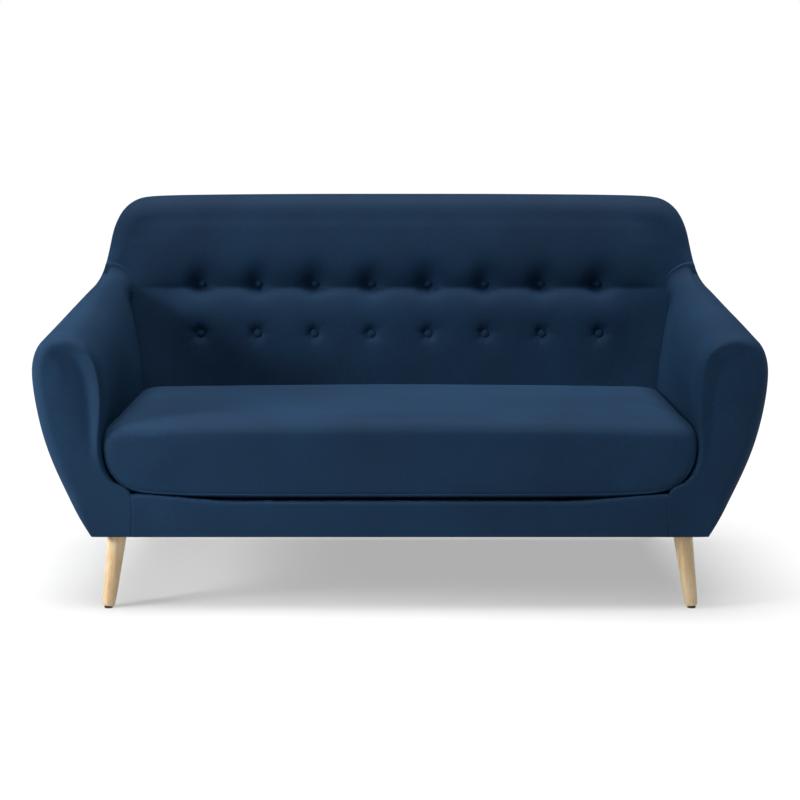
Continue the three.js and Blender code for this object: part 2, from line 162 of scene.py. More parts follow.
def padMesh(name, rings, nb, ns, capDepths, place):
    # rings hold (u, v, depth) points, and both ends are closed with a grid
    count = 2 * (nb + ns)
    verts = [np.vstack(rings)]
    faces = []
    step = np.arange(count)
    after = (step + 1) % count
    for r in range(len(rings) - 1):
        a, b = r * count, (r + 1) * count
        faces.append(np.stack([a + step, a + after, b + after, b + step], axis=1))
    total = len(rings) * count
    for which, capDepth in zip((0, len(rings) - 1), capDepths):
        start = which * count
        grid = ringPatch(rings[which][:, :2], nb, ns)
        index = np.zeros((nb + 1, ns + 1), int)
        index[:, 0] = start + np.arange(nb + 1)
        index[nb, :] = start + nb + np.arange(ns + 1)
        index[:, ns] = start + nb + ns + np.arange(nb + 1)[::-1]
        index[0, 1:] = start + (2 * nb + ns + np.arange(ns)[::-1]) % count
        inner = grid[1:nb, 1:ns].reshape(-1, 2)
        index[1:nb, 1:ns] = total + np.arange(len(inner)).reshape(nb - 1, ns - 1)
        depth = capDepth(inner[:, 0], inner[:, 1])
        verts.append(np.column_stack([inner, depth]))
        total += len(inner)
        quads = [index[:-1, :-1], index[1:, :-1], index[1:, 1:], index[:-1, 1:]]
        faces.append(np.stack([q.ravel() for q in quads], axis=1))
    points = np.vstack(verts)
    return makeMesh(name, place(points[:, 0], points[:, 1], points[:, 2]), np.vstack(faces))


def facingFront(u, v, depth):  # outline in X and Z, depth along Y
    return np.column_stack([u, depth, v])


def facingUp(u, v, depth):  # outline in X and Y, depth along Z
    return np.column_stack([u, v, depth])


def mirrorSides(right):  # a right-hand side's points, turned into the left-hand side
    return [(-x, z) for x, z in reversed(right)]


def wrinkle(x, z, size, seed):  # slow unevenness of cloth over foam, -1 to 1
    return np.array([
        noise.noise(Vector((a / size, b / size, seed))) for a, b in zip(x, z)
    ])


def vertexArray(mesh):
    co = np.zeros(len(mesh.vertices) * 3)
    mesh.vertices.foreach_get("co", co)
    return co.reshape(-1, 3)


def placeVertices(mesh, co):
    mesh.vertices.foreach_set("co", co.ravel())
    mesh.update()


def easeRing(ring, share, times):  # rounds off an outline's kinks, where the share is above 0
    for _ in range(times):
        middle = (np.roll(ring, 1, axis=0) + np.roll(ring, -1, axis=0)) / 2
        ring = ring + (middle - ring) * 0.5 * share[:, None]
    return ring


def nearRing(points, ring):  # distance to a ring, and which of its points is nearest
    gaps, picks = [], []
    for part in np.array_split(points, max(1, len(points) // 1500)):
        squared = ((part[:, None] - ring[None]) ** 2).sum(axis=2)
        picks.append(squared.argmin(axis=1))
        gaps.append(np.sqrt(squared.min(axis=1)))
    return np.concatenate(gaps), np.concatenate(picks)


def rollDepth(gap, width, depth, full):  # how far a rounded edge falls back near its outline
    u = np.clip(gap / width, 0, 1)
    return depth * (1 - (1 - (1 - u) ** full) ** (1 / full))


def edgeFall(u, v, ring, roll, full):  # distance to an outline, and how far its edge falls back there
    gap, pick = nearRing(np.column_stack([u, v]), ring)
    return gap, rollDepth(gap, roll[0][pick], roll[1][pick], full)


steepAngle = math.radians(50)  # a rounded edge is made of rings up to here, then its cap carries on


def rollRings(edge, width, depth, full, steps, faceY):  # the steep outer part of a rounded edge
    rings = []
    for angle in np.linspace(0, steepAngle, steps + 1)[1:]:
        inset = width * (1 - math.cos(angle) ** (2 / full))
        moved = insetRing(edge, inset)
        y = faceY(moved[:, 1]) + rollDepth(inset, width, depth, full)
        rings.append(np.column_stack([moved, y]))
    return rings


def quarterRings(ring, angles, width, depth, face):  # a small quarter-round edge under a face
    rings = []
    for angle in angles:
        moved = insetRing(ring, width * (1 - math.cos(angle)))
        y = face(moved[:, 1]) - depth * (1 - math.sin(angle))
        rings.append(np.column_stack([moved, y]))
    return rings


def rollAlong(cut, keys, times, share=None):  # an edge's width and depth, all along its outline
    nb, ns = cut["counts"]
    out = []
    for k in (0, 1):
        values = np.concatenate([np.full(n, cut[key][k]) for key, n in zip(keys, (nb, ns, nb, ns))])
        if share is not None:
            values = cut["footRoll"][k] + (values - cut["footRoll"][k]) * share
        out.append(softenRing(values, times))
    return out


def flatAt(depth):  # a flat face
    return lambda *place: np.full(len(place[0]), depth)


def capOf(face):  # a cap that follows a leaning face
    return lambda u, v: face(v)


# back outline and edge, which the arms' rear ends also follow
backCut = {
    "foot": [(-0.645, 0.160), (0.645, 0.160)],
    "side": [
        (0.645, 0.160), (0.6755, 0.218), (0.7030, 0.287), (0.7220, 0.355), (0.7325, 0.423),
        (0.7385, 0.491), (0.7410, 0.560), (0.7400, 0.605), (0.7330, 0.634), (0.7210, 0.658),
        (0.7140, 0.685), (0.7090, 0.722), (0.7010, 0.762), (0.6880, 0.794), (0.6720, 0.815),
    ],
    "top": [(0.6720, 0.815), (0.6480, 0.830), (0.6120, 0.8370), (0.500, 0.8405), (0.250, 0.8425), (0, topZ)],
    "counts": (320, 150),
    "roll": (0.048, 0.050),
    "full": 2.3,
    "rearRoll": (0.010, 0.012),
    "hiddenRoll": (0.003, 0.004),
    "rollSteps": 9,
    "sleeveSteps": 14,
    "lumbar": 0.030,
    "headroll": 0.013,
    "foldZ": 0.6270,
    "foldDip": 0.0085,
    "foldDepth": 0.0095,
    "foldWidth": (0.030, 0.007),  # above and below the fold
    "foldShare": (0.45, 0.55),
    "deepTuft": 0.0215,
    "deepTuftUp": 0.010,
    "deepTuftSize": (0.026, 0.042, 0.016),  # across, above and below
    "tuft": 0.011,
    "tuftSize": 0.015,
    "pull": 0.004,
    "pullSize": 0.042,
    "pleats": 7,
    "pleatDepth": 0.0008,
    "pleatSize": 0.030,
    "lumbarFrom": 0.375,
    "headGap": 0.030,
    "fade": ((0.40, 0.62, 0.80), (0.19, 0.10, 0.14)),  # how wide the padding thins out beside the arms
    "bulgeEdge": (0.018, 0.075),
    "puff": 0.003,
    "panelGap": 0.0005,
}


def outlineOf(cut, counts):  # a mirrored outline from its right-hand half
    nb, ns = counts
    right = smoothSide(cut["side"], ns)
    half = cut["top"]
    top = smoothSide(half + mirrorSides(half)[1:], nb)
    left = np.column_stack([-right[::-1, 0], right[::-1, 1]])
    return ringOf([smoothSide(cut["foot"], nb), right, top, left])


backRing = outlineOf(backCut, backCut["counts"])
backRing = easeRing(backRing, softStep(backRing[:, 1], 0.20, 0.26), 10)
backFree = softStep(backRing[:, 1], 0.640, 0.735)
backRoll = [
    softenRing(hidden + (shown - hidden) * backFree, 8)
    for hidden, shown in zip(backCut["hiddenRoll"], backCut["roll"])
]


def backEdge(points):  # where the back's front surface lies near its outline
    _, fall = edgeFall(points[:, 0], points[:, 1], backRing, backRoll, backCut["full"])
    return backFace(points[:, 1]) + fall


# arms
armCut = {
    "frontFoot": [(toeX, 0.160), (0.650, 0.160)],
    "frontOutside": [
        (0.650, 0.160), (0.6875, 0.218), (0.7210, 0.287), (0.7465, 0.355),
        (0.7620, 0.423), (0.7695, 0.485), (0.7685, 0.527), (0.7560, 0.561),
    ],
    "frontTop": [(0.7560, 0.561), (0.736, 0.5775), (0.706, 0.5835), (0.676, 0.580), (0.650, 0.569)],
    "frontInside": [
        (0.650, 0.569), (0.6320, 0.546), (0.6195, 0.500), (0.6160, 0.450), (0.6192, 0.400),
        (0.6245, 0.354), (0.6200, 0.312), (0.6040, 0.280), (toeX, 0.2505), (toeX, 0.160),
    ],
    "rearFoot": [(toeX, 0.160), (0.645, 0.160)],
    "rearOutside": [
        (0.645, 0.160), (0.6755, 0.218), (0.7030, 0.287), (0.7220, 0.355),
        (0.7325, 0.423), (0.7385, 0.491), (0.7410, 0.560), (0.7390, 0.618),
    ],
    "rearTop": [(0.7390, 0.618), (0.730, 0.642), (0.710, 0.655), (0.686, 0.648), (0.664, 0.625)],
    "rearInside": [
        (0.664, 0.625), (0.652, 0.590), (0.640, 0.540), (0.629, 0.480), (0.6205, 0.430),
        (0.6125, 0.330), (0.5990, 0.284), (toeX, 0.2505), (toeX, 0.160),
    ],
    "counts": (44, 120),
    "outsideRoll": (0.030, 0.036),
    "topRoll": (0.024, 0.036),
    "insideRoll": (0.009, 0.040),
    "footRoll": (0.002, 0.002),
    "full": 2.0,
    "dip": 0.0125,
    "dipWidth": 0.080,
    "dipEdge": (0.012, 0.050),
    "crest": 0.007,
    "crease": ((0.36, 0.44, 0.50, 0.56), (0.021, 0.031, 0.035, 0.044)),  # heights, distances inwards
    "creasePower": 1.3,
    "insideStart": (baseZ + 0.09, baseZ + 0.18),  # heights where the rounded edge begins
    "outsideStart": (baseZ, baseZ + 0.08),
    "lipStart": (baseZ + 0.15, baseZ + 0.24),
    "sleeveSteps": 64,
    "rollSteps": 10,
    "sideEase": 2.4,
    "sleevePower": 1.6,
    "easeBand": (0.30, 0.36),
    "easePasses": 40,
    "neckStart": 0.90,
    "neckRise": 0.034,
    "neckBand": (0.582, 0.636),
    "neckGap": 0.0015,
    "rearGap": 0.0004,
    "rearInset": 0.0006,
    "wrinkleLift": 0.0010,
    "wrinkleSize": 0.14,
    "wrinkleEnd": (0.10, 0.18),
}


def armOutline(cut, end):  # the end is front or rear
    nb, ns = cut["counts"]
    sides = [cut[end + word] for word in ("Foot", "Outside", "Top", "Inside")]
    ring = ringOf([smoothSide(side, n) for side, n in zip(sides, (nb, ns, nb, ns))])
    return easeRing(ring, softStep(ring[:, 1], *cut["easeBand"]), cut["easePasses"])


def armRoll(cut, front):  # the front edge's rounding and its raised inner lip, along the outline
    nb, ns = cut["counts"]
    z = front[:, 1]
    onInside = np.arange(len(front)) >= 2 * nb + ns
    low = np.where(onInside, softStep(z, *cut["insideStart"]), softStep(z, *cut["outsideStart"]))
    keys = ("footRoll", "outsideRoll", "topRoll", "insideRoll")
    width, depth = rollAlong(cut, keys, 90, low)
    inner = softStep(z[onInside], *cut["lipStart"])
    lip = np.concatenate([np.zeros(nb + ns), np.linspace(0.1, 1.0, nb), inner])
    return width, depth, softenRing(lip, 60)


def buildArm(name, side):
    cut = armCut
    nb, ns = cut["counts"]
    front, rear = armOutline(cut, "front"), armOutline(cut, "rear")
    width, depth, lip = armRoll(cut, front)
    rising = softenRing(softStep(rear[:, 1], *cut["neckBand"]), 12)
    tip = insetRing(rear, -cut["neckRise"] * rising)
    limit = np.interp(tip[:, 1], *np.array(backCut["side"])[:, ::-1].T) - cut["neckGap"]
    tip[:, 0] = np.minimum(tip[:, 0], limit)
    rearY = backEdge(tip) - cut["rearGap"]
    rings = []
    for u in np.linspace(1, 0, cut["sleeveSteps"] + 1):
        share = 1 - (1 - u) ** cut["sleevePower"]
        y = (frontY + depth) + (rearY - frontY - depth) * share
        t = (y - frontY) / (rearY - frontY)
        s = np.clip((t - cut["neckStart"]) / (1 - cut["neckStart"]), 0, 1)
        flare = (1 - np.sqrt(1 - s ** 2))[:, None]
        x = front[:, 0] + (rear[:, 0] - front[:, 0]) * t ** cut["sideEase"]
        z = front[:, 1] + (rear[:, 1] - front[:, 1]) * t
        ring = np.column_stack([x, z]) + (tip - rear) * flare
        rings.append(np.column_stack([ring, y]))
    outline = rings[-1][:, :2]
    rings += rollRings(outline, width, depth, cut["full"], cut["rollSteps"], flatAt(frontY))
    lipped = np.arange(len(front)) >= nb + ns

    def rearCap(u, v):
        return backFace(v) - cut["rearInset"]

    def smoothed(values):  # evens the dip over the panel's grid
        grid = np.pad(values.reshape(nb - 1, ns - 1), 1)
        for _ in range(6):
            inner = (grid[:-2, 1:-1] + grid[2:, 1:-1] + grid[1:-1, :-2] + grid[1:-1, 2:]) / 4
            grid[1:-1, 1:-1] = inner
        return grid[1:-1, 1:-1].ravel()

    def panel(u, v):  # the arm's front, sunk behind the lip of its top and inner edge
        points = np.column_stack([u, v])
        _, fall = edgeFall(u, v, outline, (width, depth), cut["full"])
        inward, which = nearRing(points, outline[lipped])
        outward, _ = nearRing(points, outline[~lipped])
        crease = np.interp(v, *cut["crease"])
        rise = np.clip((inward - cut["crest"]) / (crease - cut["crest"]), 0, 1) ** cut["creasePower"]
        away = np.clip(1 - (inward - crease) / cut["dipWidth"], 0, 1) ** 2
        sunk = rise * away * lip[lipped][which] * softStep(outward, *cut["dipEdge"])
        return frontY + fall + cut["dip"] * smoothed(sunk)

    arm = padMesh(name, rings, nb, ns, (rearCap, panel), facingFront)
    co = vertexArray(arm.data)
    slack = wrinkle(co[:, 0] + co[:, 1] * 0.6, co[:, 2], cut["wrinkleSize"], 3.1 + side)
    free = 1 - softStep(co[:, 1], *cut["wrinkleEnd"])
    normals = np.array([v.normal for v in arm.data.vertices])
    co = co + normals * (cut["wrinkleLift"] * slack * free)[:, None]
    co[:, 2] = np.maximum(co[:, 2], baseZ)
    co[:, 0] *= side
    if side < 0:
        arm.data.flip_normals()
    placeVertices(arm.data, co)
    return arm


# back
innerLine = {  # where the arms' inside meets the back: height, then distance from the middle
    "z": [0.16, 0.33, 0.43, 0.48, 0.54, 0.59, 0.625, 0.66, 0.69, 0.73, 0.77, 0.81, 0.84],
    "x": [0.610, 0.612, 0.620, 0.629, 0.640, 0.652, 0.660, 0.664, 0.672, 0.682, 0.668, 0.640, 0.600],
}
rowX = [lowButton.x + buttonPitch * k for k in range(8)]


def backBulge(x, z):  # how far the padding stands out of the back's plane
    cut = backCut
    reach = np.interp(z, innerLine["z"], innerLine["x"])
    aside = softStep(reach - np.abs(x), 0.0, np.interp(z, *cut["fade"]))
    phase = 0.5 + 0.5 * np.cos((x - rowX[0]) / buttonPitch * 2 * math.pi)  # 1 at a button
    inRows = softStep(buttonPitch * 0.62 + rowX[7] - np.abs(x), 0, buttonPitch * 0.6)
    fold = cut["foldZ"] - cut["foldDip"] * phase ** 2 * inRows
    s = np.clip((z - cut["lumbarFrom"]) / (fold - cut["lumbarFrom"]), 0, 1)
    lumbar = cut["lumbar"] * (s ** 1.4) * (1 - s ** (2.2 + 4.8 * inRows))
    h = np.clip((z - fold) / (topZ - cut["headGap"] - fold), 0, 1)
    head = cut["headroll"] * np.sin(math.pi * h ** 0.75) ** 0.9
    crease = cut["foldDepth"] * np.exp(-((z - fold) / np.where(z > fold, *cut["foldWidth"])) ** 2)
    flat, peak = cut["foldShare"]
    out = lumbar + head - crease * (flat + peak * phase) * inRows
    across, above, below = cut["deepTuftSize"]
    for cx in rowX:
        dx = x - cx
        up = z - (fold + cut["deepTuftUp"])
        wide = np.where(up > 0, above, below)
        out = out - cut["deepTuft"] * np.exp(-(dx / across) ** 2 - (up / wide) ** 2)
        low = z - lowButton.z
        r2 = dx ** 2 + low ** 2
        out = out - cut["tuft"] * np.exp(-r2 / cut["tuftSize"] ** 2)
        out = out - cut["pull"] * np.exp(-r2 / cut["pullSize"] ** 2)
        pleat = np.cos(cut["pleats"] * np.arctan2(low, dx) + cx * 9) * softStep(r2, 0, 1e-4)
        out = out + cut["pleatDepth"] * pleat * np.exp(-r2 / cut["pleatSize"] ** 2)
    return out * aside


def buildBack():
    cut = backCut
    nb, ns = cut["counts"]

    def rear(z):
        return backRear(z) - panelDepth - cut["panelGap"]

    rings = quarterRings(backRing, np.linspace(math.pi / 2, 0, 7), *cut["rearRoll"], rear)
    near = backFace(backRing[:, 1]) + backRoll[1]
    far = rear(backRing[:, 1]) - cut["rearRoll"][1]
    for share in np.linspace(1, 0, cut["sleeveSteps"] + 1)[1:]:
        puffed = insetRing(backRing, -cut["puff"] * backFree * math.sin(math.pi * share))
        rings.append(np.column_stack([puffed, near + (far - near) * share]))
    rings += rollRings(backRing, *backRoll, cut["full"], cut["rollSteps"], backFace)

    def tufted(u, v):
        gap, fall = edgeFall(u, v, backRing, backRoll, cut["full"])
        return backFace(v) + fall - backBulge(u, v) * softStep(gap, *cut["bulgeEdge"])

    return padMesh("insideBackCover", rings, nb, ns, (capOf(rear), tufted), facingFront)


panelCut = {"inset": 0.007, "roll": 0.0035, "overlap": 0.0004, "counts": (120, 60)}


def buildRearPanel():
    cut = panelCut
    nb, ns = cut["counts"]
    ring = insetRing(outlineOf(backCut, cut["counts"]), cut["inset"])

    def inner(z):
        return backRear(z) - panelDepth + cut["overlap"]

    rings = [np.column_stack([ring, inner(ring[:, 1])])]
    rings += quarterRings(ring, np.linspace(0, math.pi / 2, 6), cut["roll"], cut["roll"], backRear)
    return padMesh("outsideBackPanel", rings, nb, ns, (capOf(inner), capOf(backRear)), facingFront)


def tubeAlong(name, path, radius):  # a round closed welt along points
    curve = bpy.data.curves.new(name, "CURVE")
    curve.dimensions = "3D"
    curve.bevel_depth = radius
    curve.bevel_resolution = 2
    spline = curve.splines.new("POLY")
    spline.points.add(len(path) - 1)
    for point, place in zip(spline.points, path):
        point.co = (*place, 1)
    spline.use_cyclic_u = True
    source = addObject(name + "Path", curve)
    graph = bpy.context.evaluated_depsgraph_get()
    mesh = bpy.data.meshes.new_from_object(source.evaluated_get(graph))
    bpy.data.objects.remove(source)
    shadeSmooth(mesh)
    return addObject(name, mesh)


# seat cushion
cushionCut = {
    "foot": [
        (-0.552, 0.2500), (-0.50, 0.2452), (-0.40, 0.2420), (0, 0.2413),
        (0.40, 0.2420), (0.50, 0.2452), (0.552, 0.2500),
    ],
    "side": [
        (0.552, 0.2500), (0.5900, 0.262), (0.6170, 0.290), (0.6310, 0.324), (0.6350, 0.351),
        (0.6310, 0.373), (0.6160, 0.388),
    ],
    "top": [(0.6160, 0.388), (0.5930, 0.3955), (0.5400, 0.3990), (0.400, 0.4015), (0, 0.4040)],
    "frontY": -0.4075,
    "flare": 0.004,
    "counts": (120, 30),
    "footRoll": (0.010, 0.012),
    "sideRoll": (0.024, 0.030),
    "topRoll": (0.034, 0.036),
    "rearRoll": (0.016, 0.018),
    "full": 2.1,
    "sleeveSteps": 49,
    "rollSteps": 9,
    "backGap": 0.003,
    "sideGap": 0.0034,
    "voxel": 0.0075,
    "frames": 20,
    "quality": 4,
    "pressure": 4.0,
    "tension": 12,
    "bending": 0.8,
    "limit": 0.007,
    "evenPasses": 24,
    "welt": 0.0026,
    "weltStep": 0.008,
    "weltRaise": 0.0008,
}


def cushionRoom(y, z):  # how far from the middle the arms' insides leave room
    front, rear = [
        np.interp(z, *np.array(armCut[key][1:])[::-1, ::-1].T) for key in ("frontInside", "rearInside")
    ]
    t = np.clip((y - frontY) / (backFace(z) - frontY), 0, 1)
    width, depth = armCut["insideRoll"]
    low = softStep(z, *armCut["insideStart"])
    u = np.clip(1 - (y - frontY) / depth, 0, 1)
    room = front + (rear - front) * t ** armCut["sideEase"]
    return room + low * width * (1 - np.sqrt(1 - u ** 2)) - cushionCut["sideGap"]


def buildCushion():
    cut = cushionCut
    nb, ns = cut["counts"]
    ring = outlineOf(cut, cut["counts"])

    def rear(z):
        return backFace(z) - cut["backGap"]

    rings = quarterRings(ring, np.linspace(math.pi / 2, 0, 6), *cut["rearRoll"], rear)
    roll = rollAlong(cut, ("footRoll", "sideRoll", "topRoll", "sideRoll"), 30)
    far = rear(ring[:, 1]) - cut["rearRoll"][1]
    near = cut["frontY"] + roll[1]
    high = softStep(ring[:, 1], 0.25, 0.31) * (1 - 0.75 * softStep(ring[:, 1], 0.345, 0.392))
    for share in np.linspace(1, 0, cut["sleeveSteps"] + 1)[1:]:
        y = near + (far - near) * share
        wide = ring.copy()
        wide[:, 0] += np.sign(ring[:, 0]) * cut["flare"] * high * (1 - softStep(y, -0.385, -0.16))
        rings.append(np.column_stack([wide, y]))
    outline = rings[-1][:, :2]
    rings += rollRings(outline, *roll, cut["full"], cut["rollSteps"], flatAt(cut["frontY"]))

    def front(u, v):
        return cut["frontY"] + edgeFall(u, v, outline, roll, cut["full"])[1]

    return padMesh("seatCushionCover", rings, nb, ns, (capOf(rear), front), facingFront)


def applyModifiers(piece):
    graph = bpy.context.evaluated_depsgraph_get()
    mesh = bpy.data.meshes.new_from_object(piece.evaluated_get(graph))
    piece.modifiers.clear()
    piece.data = mesh
    shadeSmooth(mesh)


def inflate(piece, cut):  # cloth under air pressure, so the cover swells like stuffed fabric
    scene = bpy.context.scene
    remesh = piece.modifiers.new("remesh", "REMESH")
    remesh.mode = "VOXEL"
    remesh.voxel_size = cut["voxel"]
    applyModifiers(piece)
    start = vertexArray(piece.data)
    cloth = piece.modifiers.new("cloth", "CLOTH")
    cloth.settings.quality = cut["quality"]
    cloth.settings.use_pressure = True
    cloth.settings.uniform_pressure_force = cut["pressure"]
    cloth.settings.effector_weights.gravity = 0
    cloth.settings.tension_stiffness = cut["tension"]
    cloth.settings.bending_stiffness = cut["bending"]
    cloth.point_cache.frame_start = 1
    cloth.point_cache.frame_end = cut["frames"]
    for step in range(1, cut["frames"] + 1):
        scene.frame_set(step)
    graph = bpy.context.evaluated_depsgraph_get()
    swollen = bpy.data.meshes.new_from_object(piece.evaluated_get(graph))
    piece.modifiers.clear()
    moved = vertexArray(swollen) - start
    bpy.data.meshes.remove(swollen)
    length = np.linalg.norm(moved, axis=1, keepdims=True) + 1e-9
    moved = moved / length * cut["limit"] * np.tanh(length / cut["limit"])
    ends = np.zeros(len(piece.data.edges) * 2, int)
    piece.data.edges.foreach_get("vertices", ends)
    one, two = ends.reshape(-1, 2).T
    shared = np.bincount(ends, minlength=len(start))[:, None]
    for _ in range(cut["evenPasses"]):  # the stuffing evens out small creases
        near = np.zeros_like(moved)
        np.add.at(near, one, moved[two])
        np.add.at(near, two, moved[one])
        moved = (moved + near / shared) / 2
    placeVertices(piece.data, start + moved)
    scene.frame_set(1)


def settleCushion(piece):  # flat where it rests on the deck, and pressed by the arms and back
    co = vertexArray(piece.data)
    co[:, 2] = np.maximum(co[:, 2], deckZ + 0.0006)
    reach = cushionRoom(co[:, 1], co[:, 2])
    over = np.abs(co[:, 0]) - reach
    co[:, 0] = np.where(over > 0, np.sign(co[:, 0]) * reach, co[:, 0])
    co[:, 1] = np.minimum(co[:, 1], backFace(co[:, 2]) - 0.0012)
    co[:, 1] = np.maximum(co[:, 1], frontY - 0.004)
    placeVertices(piece.data, co)


def cushionWelt(cover):  # the sewn seam round the front edge, the ends and the top rear
    half = [
        (0.604, backFace(0.390) - 0.020, 0.388), (0.606, 0.05, 0.386), (0.607, -0.18, 0.385),
        (0.614, -0.34, 0.383), (0.618, -0.374, 0.376), (0.619, -0.388, 0.360),
        (0.614, -0.396, 0.330), (0.604, -0.396, 0.298), (0.588, -0.397, 0.272),
        (0.556, -0.405, 0.2570), (0.500, -0.406, 0.2515), (0.400, -0.406, 0.2475),
        (0.200, -0.406, 0.2462), (0, -0.406, 0.2460),
    ]
    whole = half + [(-x, y, z) for x, y, z in reversed(half[:-1])]
    pts = np.array(whole + [whole[0]], float)
    dense = []
    for a, b in zip(pts[:-1], pts[1:]):
        steps = max(1, int(np.linalg.norm(b - a) / cushionCut["weltStep"]))
        dense += [a + (b - a) * k / steps for k in range(steps)]
    tree = BVHTree.FromObject(cover, bpy.context.evaluated_depsgraph_get())
    hits = [tree.find_nearest(Vector(p)) for p in dense]
    path = np.array([hit[0] + hit[1] * cushionCut["weltRaise"] for hit in hits])
    for _ in range(6):
        path = (np.roll(path, 1, axis=0) + 2 * path + np.roll(path, -1, axis=0)) / 4
    return tubeAlong("seatCushionWelt", path, cushionCut["welt"])


# apron, deck cloth, dust cover and webbing
apronCut = {
    "counts": (240, 24), "topRoll": (0.007, 0.008), "footRoll": (0.002, 0.002), "endRoll": (0.0010, 0.0012),
    "full": 2.0, "rollSteps": 5, "setBack": 0.0004, "top": 0.2350, "rise": 0.0165, "riseBand": (0.34, 0.575),
    "pucker": 0.0012, "puckerPitch": 0.019, "slack": 0.0012, "hem": 0.0007, "hemUp": 0.009,
}


def boxRing(low, high, nb, ns):  # a rectangle's outline between two corners
    corners = [(low[0], low[1]), (high[0], low[1]), (high[0], high[1]), (low[0], high[1])]
    counts = (nb, ns, nb, ns)
    return ringOf([smoothSide([corners[k], corners[(k + 1) % 4]], counts[k]) for k in range(4)])


def buildApron():
    cut = apronCut
    nb, ns = cut["counts"]
    low, high = apronBox
    faceY = frontY + cut["setBack"]
    ring = boxRing((low.x, low.z), (high.x, high.z), nb, ns)
    share = (ring[:, 1] - low.z) / (high.z - low.z)
    top = cut["top"] + cut["rise"] * softStep(np.abs(ring[:, 0]), *cut["riseBand"])
    ring[:, 1] = low.z + (top - low.z) * share
    roll = rollAlong(cut, ("footRoll", "endRoll", "topRoll", "endRoll"), 2)
    rings = [np.column_stack([ring, np.full(len(ring), high.y)])]
    rings.append(np.column_stack([ring, faceY + roll[1]]))
    rings += rollRings(ring, *roll, cut["full"], cut["rollSteps"], flatAt(faceY))

    def front(u, v):
        gap, fall = edgeFall(u, v, ring, roll, cut["full"])
        up = (v - low.z) / (high.z - low.z)
        edge = high.x - np.abs(u)
        fold = np.cos((edge - 0.55 * (v - low.z)) / cut["puckerPitch"]) * np.exp(-edge / 0.045)
        fold = fold * softStep(edge, 0.0005, 0.012) * np.sin(math.pi * np.clip(up, 0, 1))
        slack = cut["slack"] * wrinkle(u, v * 2, 0.16, 8.4) * softStep(edge, 0, 0.05)
        hem = cut["hem"] * np.exp(-((v - low.z - cut["hemUp"]) / 0.0022) ** 2)
        return faceY + fall + (cut["pucker"] * fold + slack + hem) * softStep(gap, 0.002, 0.008)

    return padMesh("frontApronCover", rings, nb, ns, (flatAt(high.y), front), facingFront)


deckCut = {"counts": (96, 48), "roll": 0.002, "hem": 0.0009, "hemIn": 0.055, "sag": 0.0014, "sagIn": 0.16}


def buildDeckCloth():
    cut = deckCut
    nb, ns = cut["counts"]
    low, high = deckBox
    ring = boxRing((low.x, low.y), (high.x, high.y), nb, ns)
    rings = [np.column_stack([ring, np.full(len(ring), low.z)])]
    rings += quarterRings(ring, np.linspace(0, math.pi / 2, 5), cut["roll"], cut["roll"], flatAt(high.z))

    def top(u, v):
        edge = np.minimum(high.x - np.abs(u), np.minimum(v - low.y, high.y - v))
        hem = cut["hem"] * np.exp(-((edge - cut["hemIn"]) / 0.0035) ** 2)
        return high.z - hem - cut["sag"] * softStep(edge, 0, cut["sagIn"])

    return padMesh("seatDeckCloth", rings, nb, ns, (flatAt(low.z), top), facingUp)


def gridFaces(nx, ny, start=0):
    corners = [start + j * (nx + 1) + i for j in range(ny) for i in range(nx)]
    return [(a, a + 1, a + nx + 2, a + nx + 1) for a in corners]


dustCut = {"counts": (84, 44), "sag": 0.0022, "ripple": 0.0006, "thick": 0.0006}


def buildDustCover():  # stretched cloth that hangs a little in its two bays
    cut = dustCut
    low, high = coverBox
    nx, ny = cut["counts"]
    verts = []
    for j in range(ny + 1):
        for i in range(nx + 1):
            u, v = i / nx, j / ny
            x, y = low.x + (high.x - low.x) * u, low.y + (high.y - low.y) * v
            bay = abs(math.sin(2 * math.pi * u)) * math.sin(math.pi * v)
            ripple = cut["ripple"] * noise.noise(Vector((x * 9, y * 9, 4.2)))
            verts.append((x, y, high.z - 0.0002 - cut["sag"] * bay ** 0.6 + ripple * bay))
    sheet = makeMesh("dustCoverCloth", verts, gridFaces(nx, ny))
    thick = sheet.modifiers.new("thickness", "SOLIDIFY")
    thick.thickness = cut["thick"]
    thick.offset = -1
    applyModifiers(sheet)
    return sheet


def buildStrap(name, node):  # a webbing strap, thicker at its selvedges
    low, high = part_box(node)
    nx, ny = 10, 60
    verts = []
    for layer in (0, 1):
        for j in range(ny + 1):
            for i in range(nx + 1):
                u, v = i / nx, j / ny
                selvedge = float(softStep(abs(2 * u - 1), 0.72, 0.9))
                thick = (high.z - low.z) * (0.72 + 0.28 * selvedge)
                x, y = low.x + (high.x - low.x) * u, low.y + (high.y - low.y) * v
                verts.append((x, y, low.z + thick * layer))
    size = (nx + 1) * (ny + 1)
    faces = gridFaces(nx, ny) + gridFaces(nx, ny, size)
    rim = list(range(nx + 1))
    rim += [j * (nx + 1) + nx for j in range(1, ny + 1)]
    rim += [ny * (nx + 1) + i for i in range(nx - 1, -1, -1)]
    rim += [j * (nx + 1) for j in range(ny - 1, 0, -1)]
    for a, b in zip(rim, rim[1:] + rim[:1]):
        faces.append((a, b, b + size, a + size))
    return makeMesh(name, verts, faces, smooth=False)


